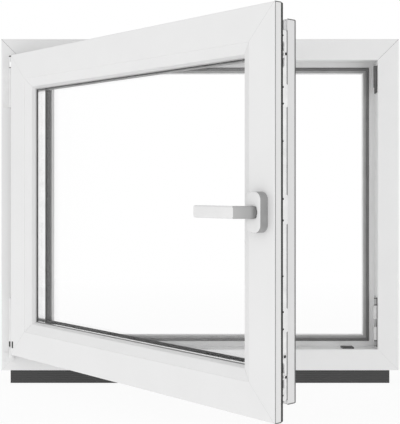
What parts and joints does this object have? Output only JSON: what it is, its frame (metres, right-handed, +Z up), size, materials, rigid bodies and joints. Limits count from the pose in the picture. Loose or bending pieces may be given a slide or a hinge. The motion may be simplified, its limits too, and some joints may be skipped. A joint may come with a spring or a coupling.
{
  "type": "tilt and turn window",
  "caption": "White PVC tilt and turn window with a mitred frame, a double-glazed sash swung inwards on its left hinges, a lever handle and a dark sill profile.",
  "frame": {"origin": "middle of the sill profile's underside", "axes": "+X to the right as seen from the room, +Y outdoors, +Z up"},
  "size_m": [0.9, 0.7216, 0.78],
  "materials": {
    "white_pvc": "smooth extruded white PVC, satin gloss",
    "white_caps": "moulded white plastic",
    "sill_pvc": "extruded dark grey PVC",
    "gasket_rubber": "extruded dark sealing rubber",
    "grey_rubber": "extruded grey sealing rubber",
    "glass": "clear float glass",
    "spacer_aluminium": "mill aluminium spacer bar",
    "hardware_steel": "zinc plated steel",
    "dark_zinc": "dark cast zinc",
    "dark_plastic": "moulded dark plastic",
    "hinge_coating": "white powder coat on steel",
    "handle_coating": "white powder coat on cast metal"
  },
  "bodies": {
    "frame": {"frame_top_rail": "white_pvc", "frame_bottom_rail": "white_pvc", "frame_left_jamb": "white_pvc", "frame_right_jamb": "white_pvc", "frame_gasket": "gasket_rubber", "flange_strip": "grey_rubber", "sill_profile": "sill_pvc", "upper_striker": "dark_zinc", "lower_striker": "hardware_steel", "run_up_block": "dark_plastic", "drain_caps": "white_caps", "corner_bearing": "hinge_coating", "stay_bearing": "hinge_coating"},
    "corner_hinge": {"corner_knuckle": "hardware_steel"},
    "sash": {"corner_band": "hinge_coating", "sash_top_rail": "white_pvc", "sash_bottom_rail": "white_pvc", "sash_left_stile": "white_pvc", "sash_right_stile": "white_pvc", "bead_top": "white_pvc", "bead_bottom": "white_pvc", "bead_left": "white_pvc", "bead_right": "white_pvc", "inner_pane": "glass", "outer_pane": "glass", "spacer_bar": "spacer_aluminium", "inner_glazing_gasket": "gasket_rubber", "outer_glazing_gasket": "gasket_rubber", "sash_gasket": "gasket_rubber", "lock_faceplate": "hardware_steel", "stay_guide": "hardware_steel", "handle_rosette": "handle_coating"},
    "handle": {"handle_lever": "handle_coating"},
    "lock_rod": {"drive_rod": "hardware_steel", "locking_cams": "hardware_steel"},
    "stay": {"stay_arm": "hardware_steel"}
  },
  "joints": [
    {"name": "sash_turn", "type": "hinge", "parent": "frame", "child": "corner_hinge", "pos_m": [-0.424, -0.045, 0.405], "axis": [0, 0, -1], "range_deg": [-48.75, 41.25]},
    {"name": "sash_tilt", "type": "hinge", "parent": "corner_hinge", "child": "sash", "pos_m": [-0.424, -0.045, 0.078], "axis": [0.6593, -0.7518, 0], "range_deg": [0, 8]},
    {"name": "handle_turn", "type": "hinge", "parent": "sash", "child": "handle", "pos_m": [0.09718, -0.65598, 0.405], "axis": [0.7518, 0.6593, 0], "range_deg": [-90, 90]},
    {"name": "rod_slide", "type": "slide", "parent": "sash", "child": "lock_rod", "axis": [0, 0, 1], "range_m": [-0.0181, 0.0181]},
    {"name": "stay_swing", "type": "hinge", "parent": "corner_hinge", "child": "stay", "pos_m": [-0.424, -0.045, 0.72], "axis": [0, 0, -1], "range_deg": [0, 21.5]}
  ],
  "couplings": [
    {"joint": "rod_slide", "follows": "handle_turn", "m_per_rad": -0.011459},
    {"joint": "stay_swing", "follows": "sash_tilt", "ratio": 2.675}
  ]
}
